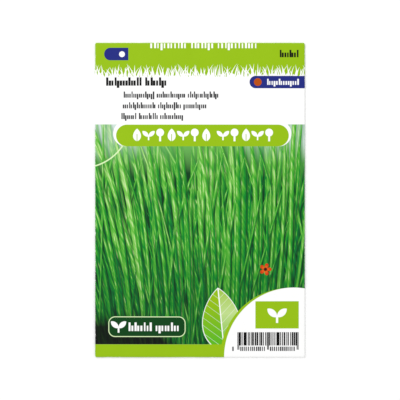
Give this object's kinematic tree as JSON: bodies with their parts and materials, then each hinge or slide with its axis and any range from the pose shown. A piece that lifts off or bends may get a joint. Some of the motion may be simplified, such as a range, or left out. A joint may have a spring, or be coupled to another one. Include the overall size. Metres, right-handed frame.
{
  "type": "seed packet",
  "caption": "Flat sealed paper seed packet with a printed front, a glued back seam and folded flaps, holding an inner foil sachet of chive seeds.",
  "frame": {"origin": "on the surface the packet lies on, under the middle of its outline", "axes": "+X to the packet's right, +Y towards its top edge, +Z out of its printed front"},
  "size_m": [0.086, 0.129, 0.0033],
  "materials": {
    "printed_paper": "satin print on coated paper",
    "dried_glue": "dried, slightly glossy",
    "foil_film": "satin foil laminate",
    "seed_coat": "matt, finely wrinkled"
  },
  "bodies": {
    "root": {"envelope": "printed_paper", "side_seam_glue": "dried_glue", "bottom_flap_glue": "dried_glue", "closing_flap_glue": "dried_glue", "sachet_lower_film": "foil_film", "sachet_upper_film": "foil_film", "seeds": "seed_coat"}
  },
  "joints": []
}
